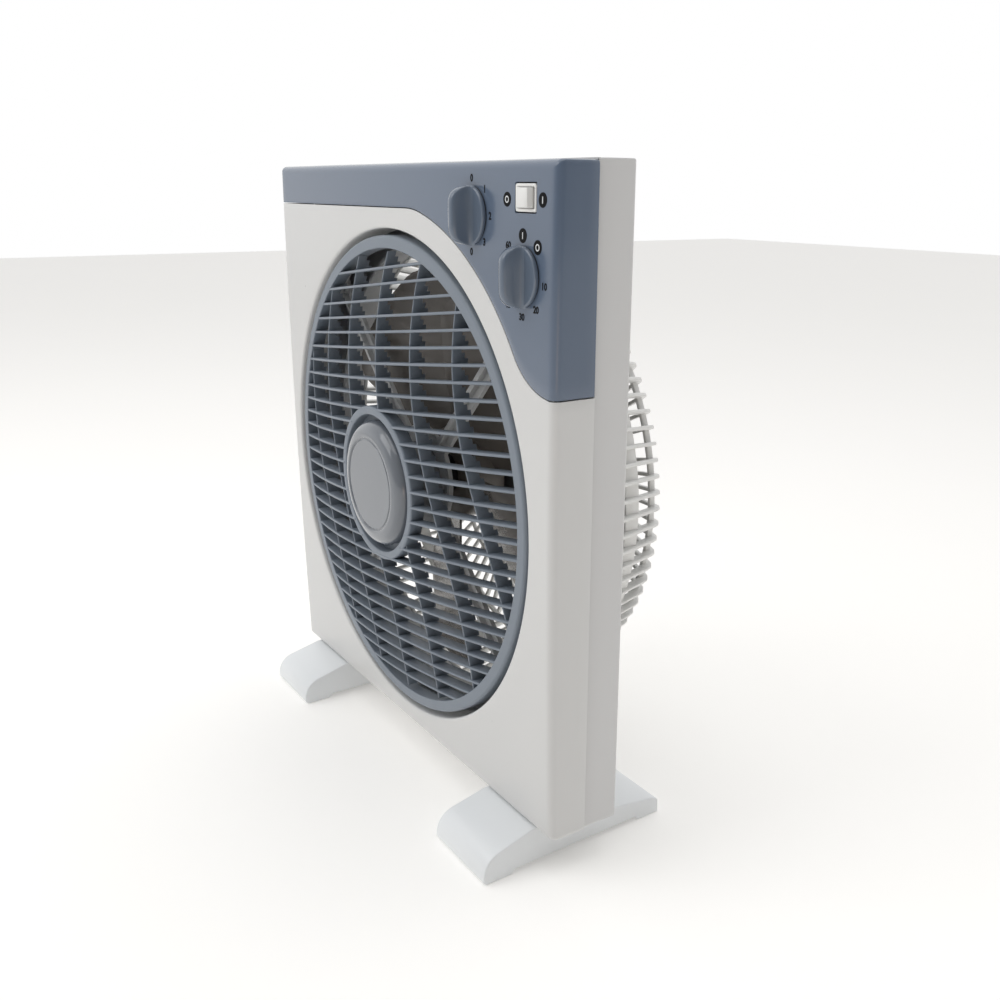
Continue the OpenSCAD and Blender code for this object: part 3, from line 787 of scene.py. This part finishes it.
def guard_rib(bm, angle):
    """One rib of the guard: a soft-edged bar bent over the shoulder of the cup."""
    tangent = Vector((-sin(angle), 0, cos(angle)))
    loops = []
    for (ro, yo), (ri, yi) in GUARD_PATH:
        half = hypot(ro - ri, yo - yi) / 2
        dr, dy = (ro - ri) / (2 * half), (yo - yi) / (2 * half)
        mid_r, mid_y = (ro + ri) / 2, (yo + yi) / 2
        section = soft_box(-GUARD_RIB_W / 2, GUARD_RIB_W / 2, -half, half, 0.0007)
        loops.append([on_axis(mid_r + dr * v, angle, mid_y + dy * v) + tangent * u for u, v in section])
    loft(bm, loops)


def make_rear_guard():
    """White cup-shaped guard: radial ribs on hoops round a centre plate that carries the motor."""
    bm = bmesh.new()
    for k in range(GUARD_RIBS):
        guard_rib(bm, 2 * pi * k / GUARD_RIBS)
    for band in [GUARD_FLANGE] + GUARD_HOOPS:
        ring(bm, *band)
    turned(bm, GUARD_PLATE, 120)
    clean(bm)
    obj = make_object("guard_rear", bm)
    settle(obj, 45)
    return piece(obj, "case", "guard_white", GUARD_WHITE, "rear_guard")


# ---- feet ----

FOOT_EDGE = 0.0018


def make_foot(name, node):
    """A foot of the CAD's shape with its edges softened."""
    obj = linked(name, NODES[node].data.copy())
    weld = obj.modifiers.new("join", "WELD")
    weld.merge_threshold = 1e-5
    add_bevel(obj, FOOT_EDGE, 3, 32)
    settle(obj, 40)
    return piece(obj, "case", "foot_white", FOOT_WHITE, node)


# ---- louver ----

DISH = 0.732
DISH_Y = -0.0181
SLAT_PITCH = 0.010
SLAT_T = 0.0018
SLAT_D = 0.0088
SLAT_BACK_SHARE = 0.7
SLAT_STEP = 0.012
SLAT_END_R = 0.154
SLATS_EACH_WAY = 14
CROSS_CELLS = 15
LOUVER_TURN = radians(6.7)
HUB_IN_R = 0.0466
HUB_OUT_R = 0.0522
HUB_OVERLAP = 0.003
HUB_FLOOR_Y = -0.009
HUB_BACK_Y = -0.0065
BOSS_R = 0.008
BOSS_BACK_Y = 0.003
BORE_R = 0.003
BEZEL_IN_R = 0.1528
BEZEL_BACK_Y = 0.0085
BEZEL_EDGE_R = 0.0022
CROSS_RIBS = 6
CROSS_PITCH = 0.0449
CROSS_SHIFT = 0.0038
CROSS_SWAY = 0.0176
CROSS_WAVE = 0.365
CROSS_T = 0.0011
CROSS_BACK = 0.0012
# Where each step of a cross rib starts, as a share of its cell, and how deep it goes.
CROSS_STEPS = [(0.0, 0.0120), (0.34, 0.0098), (0.67, 0.0076)]


def dish_at(x, h):
    """Depth of the louver's dished front at a place on the disc."""
    return DISH_Y + DISH * (x * x + h * h)


def on_louver(x, y, h):
    """A point of the louver disc from its own axes, with the disc turned as it rests."""
    c, t = cos(LOUVER_TURN), sin(LOUVER_TURN)
    return point(AXIS_X + x * c - h * t, y, AXIS_Z + x * t + h * c)


def slat_runs(h):
    """Where a slat runs: right across the disc, or in two lengths beside the hub."""
    half = sqrt(SLAT_END_R ** 2 - h * h)
    hub = HUB_OUT_R - HUB_OVERLAP
    if abs(h) >= hub:
        return [(-half, half)]
    inner = sqrt(hub ** 2 - h * h)
    return [(-half, -inner), (inner, half)]


def slat(bm, h):
    """A slat: round nose forwards, a little thinner at its back."""
    nose = SLAT_T / 2
    half_back = SLAT_BACK_SHARE * nose
    section = [(SLAT_D, -half_back)]
    section += [(nose - nose * cos(a), nose * sin(a)) for a in spread(-pi / 2, pi / 2, 6)]
    section.append((SLAT_D, half_back))
    for x0, x1 in slat_runs(h):
        loops = []
        for x in spread(x0, x1, max(4, round((x1 - x0) / SLAT_STEP))):
            loops.append([on_louver(x, dish_at(x, h) + b, h + u) for b, u in section])
        loft(bm, loops)


def cross_rib_x(start, h):
    """A cross rib sways from side to side in a long S as it goes down the disc."""
    return start + CROSS_SHIFT - CROSS_SWAY * sin(2 * pi * h / CROSS_WAVE)


def cross_rib(bm, start):
    """A thin upright plate between the slats, stepped deeper towards the foot of every cell."""
    ends = [share for share, _ in CROSS_STEPS[1:]] + [1]
    for k in range(-CROSS_CELLS, CROSS_CELLS):
        for (share, depth), end in zip(CROSS_STEPS, ends):
            heights = [(k + share) * SLAT_PITCH, (k + end) * SLAT_PITCH]
            reach = [hypot(cross_rib_x(start, h), h) for h in heights]
            if max(reach) > SLAT_END_R or min(reach) < HUB_IN_R + HUB_OVERLAP:
                continue
            loops = []
            for h in heights:
                x = cross_rib_x(start, h)
                front = dish_at(x, h)
                section = soft_box(-CROSS_T / 2, CROSS_T / 2, CROSS_BACK, depth, 0.0003, 1)
                loops.append([on_louver(x + u, front + v, h) for u, v in section])
            loft(bm, loops)


def bezel_section():
    """The louver's flat outer ring with its rounded edge, as (radius, y)."""
    section = [(BEZEL_IN_R, BEZEL_BACK_Y), (BEZEL_IN_R, -0.0006), (0.1532, -0.0010), (0.1585, -0.0007)]
    section += [(LOUVER_R - BEZEL_EDGE_R + BEZEL_EDGE_R * sin(a), 0.0015 - BEZEL_EDGE_R * cos(a))
                for a in spread(0.2, pi / 2, 5)]
    section.append((LOUVER_R, BEZEL_BACK_Y))
    return section


def hub_section():
    """The louver's hub ring, its floor and the boss behind it, as (radius, y)."""
    section = [(BOSS_R, HUB_BACK_Y), (HUB_OUT_R, HUB_BACK_Y)]
    section += [(HUB_OUT_R - 0.0012 + 0.0012 * cos(a), -0.0148 - 0.0012 * sin(a))
                for a in spread(0, pi / 2, 4)]
    section += [(HUB_IN_R + 0.0008 - 0.0008 * sin(a), -0.0152 - 0.0008 * cos(a))
                for a in spread(0, pi / 2, 3)]
    section += [(HUB_IN_R, HUB_FLOOR_Y), (BORE_R, HUB_FLOOR_Y),
                (BORE_R, BOSS_BACK_Y), (BOSS_R, BOSS_BACK_Y)]
    return section


def make_louver():
    """Grey turning louver: slats and cross ribs on a dish, inside a flat bezel, round a hub ring."""
    bm = bmesh.new()
    for k in range(-SLATS_EACH_WAY, SLATS_EACH_WAY + 1):
        slat(bm, k * SLAT_PITCH)
    for k in range(CROSS_RIBS):
        cross_rib(bm, (k - (CROSS_RIBS - 1) / 2) * CROSS_PITCH)
    turned(bm, bezel_section(), 200)
    turned(bm, hub_section(), 120)
    clean(bm, 1e-7)
    obj = make_object("louver_grille", bm)
    settle(obj, 40)
    return piece(obj, "louver", "louver_grey", LOUVER_GREY, "louver_disc")


CAP_R = 0.0425
CAP_DISC_R = 0.0312
CAP_Y = -0.0203
CAP_DOME = 0.0085
CAP_BEVEL = 0.0028
CAP_WALL = 0.002


def make_louver_cap():
    """Glossy round cap on the louver's hub: rolled rim, domed bevel, flat centre and one fine groove."""
    bm = bmesh.new()
    section = [(0, CAP_Y), (CAP_DISC_R - 0.0012, CAP_Y), (CAP_DISC_R - 0.0007, CAP_Y + 0.0005),
               (CAP_DISC_R, CAP_Y + 0.0006), (CAP_DISC_R + 0.0005, CAP_Y - 0.0001),
               (CAP_DISC_R + 0.0010, CAP_Y - 0.0003), (CAP_DISC_R + CAP_BEVEL, CAP_Y - 0.0002)]
    dome = CAP_R - CAP_DISC_R - CAP_BEVEL
    section += [(CAP_R - dome * (1 - sin(a)), CAP_Y + CAP_DOME * (1 - cos(a)))
                for a in spread(0.12, pi / 2, 10)]
    section += [(CAP_R, -0.0092), (CAP_R - CAP_WALL, -0.009), (CAP_R - CAP_WALL, -0.0105),
                (CAP_DISC_R, -0.0170), (0, -0.0172)]
    turned(bm, section)
    clean(bm)
    obj = make_object("louver_cap_cover", bm)
    settle(obj, 40)
    return piece(obj, "louver", "cap_grey", CAP_GREY, "louver_cap")


# ---- dials and rocker ----

SPEED_LOW, SPEED_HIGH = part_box("speed_knob")
TIMER_LOW, TIMER_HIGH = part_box("timer_knob")
SPEED_AT = ((SPEED_LOW.x + SPEED_HIGH.x) / 2, (SPEED_LOW.z + SPEED_HIGH.z) / 2)
TIMER_AT = ((TIMER_LOW.x + TIMER_HIGH.x) / 2, (TIMER_LOW.z + TIMER_HIGH.z) / 2)
KNOB_R = (SPEED_HIGH.x - SPEED_LOW.x) / 2
KNOB_H = FRONT_Y - SPEED_LOW.y
KNOB_DISC_T = 0.0021
KNOB_GAP = 0.0006
KNOB_RIM = 0.0010
GRIP_STEPS = 36
# Down the grip's side: the share of its height, and half its width there.
GRIP_SIDES = [(0.0, 0.0068), (0.03, 0.0056), (0.08, 0.0047), (0.17, 0.0041), (0.32, 0.0037), (0.55, 0.0034),
              (0.78, 0.0032), (0.91, 0.0028), (0.97, 0.0020), (1.0, 0.0)]


def grip_height(z, full):
    """How far the grip stands in front of the disc at a place along it: a blunt round-shouldered arch."""
    t = min(abs(z) / (KNOB_R - 0.0003), 1)
    return full * (1 - t ** 5) ** 0.6


def make_knob(name, node, at, body):
    """A dial knob: a soft-edged disc with a scooped grip bar across it."""
    x0, z0 = at
    back = crown(z0) - KNOB_GAP
    front = back - KNOB_DISC_T
    bm = bmesh.new()
    rim = [(0, front), (KNOB_R - 0.0014, front)]
    rim += [(KNOB_R - KNOB_RIM + KNOB_RIM * sin(a), front + KNOB_RIM - KNOB_RIM * cos(a))
            for a in spread(0, pi / 2, 4)]
    rim += [(KNOB_R - 0.0002, back), (0, back)]
    turned_at(bm, x0, z0, rim, 96)
    loops = []
    for t in spread(-1, 1, GRIP_STEPS):
        z = (KNOB_R - 0.0004) * sin(t * pi / 2)
        high = grip_height(z, KNOB_H + front)
        half = [(w, front + 0.0003 - high * share) for share, w in GRIP_SIDES]
        loops.append([point(x0 + w, y, z0 + z) for w, y in half]
                     + [point(x0 - w, y, z0 + z) for w, y in half[-2::-1]])
    loft(bm, loops)
    clean(bm)
    obj = make_object(name, bm)
    settle(obj, 50)
    return piece(obj, body, "cap_grey", KNOB_GREY, node)


def make_knob_shade_ring(name, at):
    """A black ring under a knob: painted shade for the shadow in the narrow gap between the knob and the
    panel.
    """
    y = crown(at[1])
    bm = bmesh.new()
    turned_at(bm, *at, [(0, y - 0.0004), (KNOB_R - 0.0005, y - 0.0004), (KNOB_R - 0.0003, y - 0.0003),
                        (KNOB_R - 0.0003, y + 0.0006), (0, y + 0.0006)], 64)
    clean(bm)
    obj = make_object(name, bm)
    settle(obj)
    return piece(obj, "case", "black_plastic", BLACK)


ROCKER_LOW, ROCKER_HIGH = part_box("rocker_housing")
ROCKER_AT = ((ROCKER_LOW.x + ROCKER_HIGH.x) / 2, (ROCKER_LOW.z + ROCKER_HIGH.z) / 2)
ROCKER_FRAME = ((ROCKER_HIGH.x - ROCKER_LOW.x) / 2, (ROCKER_HIGH.z - ROCKER_LOW.z) / 2)
ROCKER_FRONT = ROCKER_LOW.y - FRONT_Y + 0.0004
ROCKER_HOLE = (0.0080, 0.0053)
ROCKER_DEEP = 0.0085
ROCKER_PIVOT_Y = 0.004
ROCKER_TILT = radians(-8)
PADDLE_HALF = 0.0050
PADDLE_END = 0.0067
PIN_HALF = 0.0060
PIN_R = 0.0012
TERMINAL_PITCH = 0.006
TERMINAL_YS = (0.0195, 0.0270)


def frame_loop(half_w, half_h, r, y):
    """A rounded rectangle round the rocker's middle at a depth."""
    x, z = ROCKER_AT
    return [point(x + u, y, z + v) for u, v in soft_box(-half_w, half_w, -half_h, half_h, r, 4)]


def make_rocker_housing():
    """The rocker's white frame, sunk in the panel, with the box behind it and its three terminals."""
    w, h = ROCKER_FRAME
    iw, ih = ROCKER_HOLE
    soft = 0.0005
    bm = bmesh.new()
    loops = [frame_loop(iw, ih, 0.0006, ROCKER_DEEP),
             frame_loop(iw, ih, 0.0006, ROCKER_FRONT + soft),
             frame_loop(iw + 0.3 * soft, ih + 0.3 * soft, 0.0008, ROCKER_FRONT + 0.3 * soft),
             frame_loop(iw + soft, ih + soft, 0.0010, ROCKER_FRONT),
             frame_loop(w - soft, h - soft, 0.0010, ROCKER_FRONT),
             frame_loop(w - 0.3 * soft, h - 0.3 * soft, 0.0013, ROCKER_FRONT + 0.3 * soft),
             frame_loop(w, h, 0.0015, ROCKER_FRONT + soft),
             frame_loop(w, h, 0.0015, 0.0020),
             frame_loop(w - 0.0007, h - 0.0011, 0.0008, 0.0021),
             frame_loop(w - 0.0007, h - 0.0011, 0.0008, 0.0200)]
    loft(bm, loops, caps=False)
    for end in (loops[0], loops[-1]):
        bm.faces.new([bm.verts.new(p) for p in end])
    x, z = ROCKER_AT
    blade = soft_box(-0.0004, 0.0004, -0.0025, 0.0025, 0.0002)
    for k in (-1, 0, 1):
        loft(bm, [[point(x + k * TERMINAL_PITCH + u, y, z + v) for u, v in blade] for y in TERMINAL_YS])
    clean(bm)
    obj = make_object("rocker_frame", bm)
    settle(obj, 45)
    return piece(obj, "case", "switch_white", SWITCH_WHITE, "rocker_housing")


def make_rocker_paddle():
    """The rocker's paddle: a dished bar on a pin, tipped to one side."""
    x0, z0 = ROCKER_AT
    face = [(PADDLE_END * t, -0.0058 - 0.0010 * abs(t) ** 1.6) for t in spread(-1, 1, 10)]
    outline = face + [(PADDLE_END, -0.0030), (0.0025, 0.0020), (-0.0025, 0.0020), (-PADDLE_END, -0.0030)]
    c, t = cos(ROCKER_TILT), sin(ROCKER_TILT)
    tipped = [(x0 + u * c - v * t, ROCKER_PIVOT_Y + u * t + v * c) for u, v in outline]
    bm = bmesh.new()
    loft(bm, [[point(x, y, z0 + s * PADDLE_HALF) for x, y in tipped] for s in (-1, 1)])
    clean(bm)
    obj = make_object("rocker_lever", bm)
    add_bevel(obj, 0.0006, 3, 30)
    settle(obj, 45)
    piece(obj, "rocker", "switch_white", SWITCH_WHITE, "rocker_paddle")
    around_pin = spread(0, 2 * pi, 24)[:-1]
    circle = [(x0 + PIN_R * cos(a), ROCKER_PIVOT_Y + PIN_R * sin(a)) for a in around_pin]
    bm = bmesh.new()
    loft(bm, [[point(x, y, z0 + s * PIN_HALF) for x, y in circle] for s in (-1, 1)])
    clean(bm)
    pin = make_object("rocker_pin", bm)
    settle(pin)
    piece(pin, "rocker", "switch_white", SWITCH_WHITE)


DISC_R = 0.0037
MARK_PROUD = 0.00012
NUMBER_PROUD = 0.00006
NUMBER_BOLD = 0.00018


def panel_mark(name, at, material, slot, bm_maker, proud=MARK_PROUD):
    """A thin printed mark that lies on the panel's face."""
    bm = bmesh.new()
    bm_maker(bm, at[0], at[1], crown(at[1]) - proud)
    clean(bm, 1e-7)
    obj = make_object(name, bm)
    settle(obj)
    return piece(obj, "case", slot, material)


def disc_mark(bm, x, z, y):
    """The black disc under a sign."""
    back = y + 0.0003
    section = [(0, y), (DISC_R - 0.00005, y), (DISC_R, y + 0.00005), (DISC_R, back), (0, back)]
    turned_at(bm, x, z, section, 48)


def bar_sign(bm, x, z, y):
    """The upright bar that stands for on."""
    outline = soft_box(-0.00035, 0.00035, -0.0017, 0.0017, 0.0001, 1)
    loft(bm, [[point(x + u, depth, z + v) for u, v in outline] for depth in (y, y + MARK_PROUD + 0.0001)])


def ring_sign(bm, x, z, y):
    """The ring that stands for off."""
    inner, outer, back = 0.0012, 0.0018, y + 0.0002
    turned_at(bm, x, z, [(inner, y), (outer, y), (outer, back), (inner, back), (inner, y)], 32)


def number_mark(name, text, x, z, size):
    """A dial number printed on the panel."""
    curve = bpy.data.curves.new(name, "FONT")
    curve.body = text
    curve.size = size
    curve.align_x = "CENTER"
    curve.align_y = "CENTER"
    curve.extrude = NUMBER_PROUD
    curve.offset = NUMBER_BOLD
    curve.resolution_u = 3
    letters = linked(name + "_outline", curve)
    mesh = evaluated_mesh(letters)
    bpy.data.objects.remove(letters)
    mesh.transform(Matrix.Rotation(pi / 2, 4, "X"))
    mesh.transform(Matrix.Translation(face_point(x, z, -NUMBER_PROUD)))
    return piece(linked(name, mesh), "case", "black_plastic", INK)


def around(at, r, clock):
    """A place at radius r and a clock-face angle in degrees, clockwise from the top."""
    a = radians(clock)
    return (at[0] + r * sin(a), at[1] + r * cos(a))


SPEED_MARK_R = 0.0194
SPEED_MARK_SIZE = 0.0054
TIMER_MARK_R = 0.0206
TIMER_MARK_SIZE = 0.0050
TIMER_SIGN_R = 0.0207
POWER_ON_X = 0.0155
POWER_OFF_X = -0.0175
POWER_SIGN_Z = -0.001
# The printed numbers and their clock-face angles in degrees.
SPEED_MARKS = [("0", 0), ("1", 45), ("2", 90), ("3", 135), ("0", 180)]
TIMER_MARKS = [("10", 100), ("20", 140), ("30", 180), ("40", 222), ("50", 272), ("60", 318)]


def make_marks():
    """The printing round the dials and beside the rocker, with plain 1 and 0 signs in the black discs."""
    for text, clock in SPEED_MARKS:
        place = around(SPEED_AT, SPEED_MARK_R, clock)
        number_mark(f"speed_mark_{clock}", text, *place, SPEED_MARK_SIZE)
    for text, clock in TIMER_MARKS:
        place = around(TIMER_AT, TIMER_MARK_R, clock)
        number_mark(f"timer_mark_{clock}", text, *place, TIMER_MARK_SIZE)
    x, z = ROCKER_AT
    signs = [("timer_on", around(TIMER_AT, TIMER_SIGN_R, 0), bar_sign),
             ("timer_off", around(TIMER_AT, TIMER_SIGN_R, 42), ring_sign),
             ("power_on", (x + POWER_ON_X, z + POWER_SIGN_Z), bar_sign),
             ("power_off", (x + POWER_OFF_X, z + POWER_SIGN_Z), ring_sign)]
    for name, at, sign in signs:
        panel_mark(name + "_disc", at, INK, "black_plastic", disc_mark)
        panel_mark(name + "_sign", at, MARK_WHITE, "switch_white", sign, 2 * MARK_PROUD)


# ---- fan blade ----

BLADES = 5
FIRST_BLADE_AT = radians(114)
BLADE_R = 0.1455
BLADE_SHARE = 1.1
BLADE_ROOT_HALF = 0.019
BLADE_ROOT_R = 0.030
BLADE_Y = 0.052
BLADE_T = 0.0016
TIP_FROM_R = 0.105
ROOT_PITCH = 25
BLADE_TWIST = 10
BLADE_CUP = 0.004
FAN_HUB = [(0.0045, 0.0405), (0.026, 0.0405), (0.0295, 0.0415), (0.0325, 0.0445), (0.033, 0.047),
           (0.033, 0.0655), (0.0328, 0.066), (0.0307, 0.066), (0.0305, 0.0655), (0.0305, 0.0470),
           (0.028, 0.0435), (0.010, 0.0435), (0.009, 0.0445), (0.009, 0.0615), (0.0085, 0.062),
           (0.0045, 0.062)]


def half_chord(r):
    """Half the blade's width at a radius: narrow root, then a little over its sector, rounded tip."""
    root = BLADE_ROOT_HALF + (r - BLADE_ROOT_R) * 0.9
    sector = BLADE_SHARE * pi / BLADES * r
    tip = max(r - TIP_FROM_R, 0) / (BLADE_R - TIP_FROM_R)
    return min(root, sector) * sqrt(1 - tip ** 3)


def blade_rows(turn):
    """Rows of points over one twisted, slightly cupped blade."""
    rows = []
    for s in spread(0, 1, 22):
        r = BLADE_ROOT_R + (BLADE_R - 0.0005 - BLADE_ROOT_R) * (1 - (1 - s) ** 1.6)
        pitch = radians(ROOT_PITCH - BLADE_TWIST * s)
        row = []
        for t in spread(-1, 1, 12):
            across = t * half_chord(r)
            lean = across * cos(pitch)
            depth = BLADE_Y - across * sin(pitch) - BLADE_CUP * (1 - t * t) * s
            a = turn + lean / r
            reach = r * (1 - 0.02 * abs(t))
            row.append(on_axis(reach, a, depth))
        rows.append(row)
    return rows


def make_fan():
    """Smoky five-bladed fan on a turned hub."""
    bm = bmesh.new()
    for k in range(BLADES):
        add_grid(bm, blade_rows(FIRST_BLADE_AT + 2 * pi * k / BLADES))
    clean(bm)
    obj = make_object("fan_blades", bm)
    add_solidify(obj, BLADE_T, 0)
    add_bevel(obj, 0.0005)
    settle(obj, 45)
    piece(obj, "fan", "blade_smoke", SMOKE, "fan_blade")
    bm = bmesh.new()
    turned(bm, FAN_HUB, 120)
    clean(bm)
    hub = make_object("fan_hub", bm)
    settle(hub, 40)
    piece(hub, "fan", "blade_smoke", SMOKE)


# ---- build ----

make_camera()
make_studio()
dress_cad_nodes()
make_front_shell()
make_control_panel()
make_rear_shell()
make_rear_guard()
make_foot("foot_left_cover", "foot_left")
make_foot("foot_right_cover", "foot_right")
make_louver()
make_louver_cap()
make_knob("speed_knob_cover", "speed_knob", SPEED_AT, "speed_dial")
make_knob("timer_knob_cover", "timer_knob", TIMER_AT, "timer_dial")
# Black rings under the knobs: painted shade that stands for the shadow between each knob and the panel.
make_knob_shade_ring("speed_knob_shade_ring", SPEED_AT)
make_knob_shade_ring("timer_knob_shade_ring", TIMER_AT)
make_rocker_housing()
make_rocker_paddle()
make_marks()
make_fan()
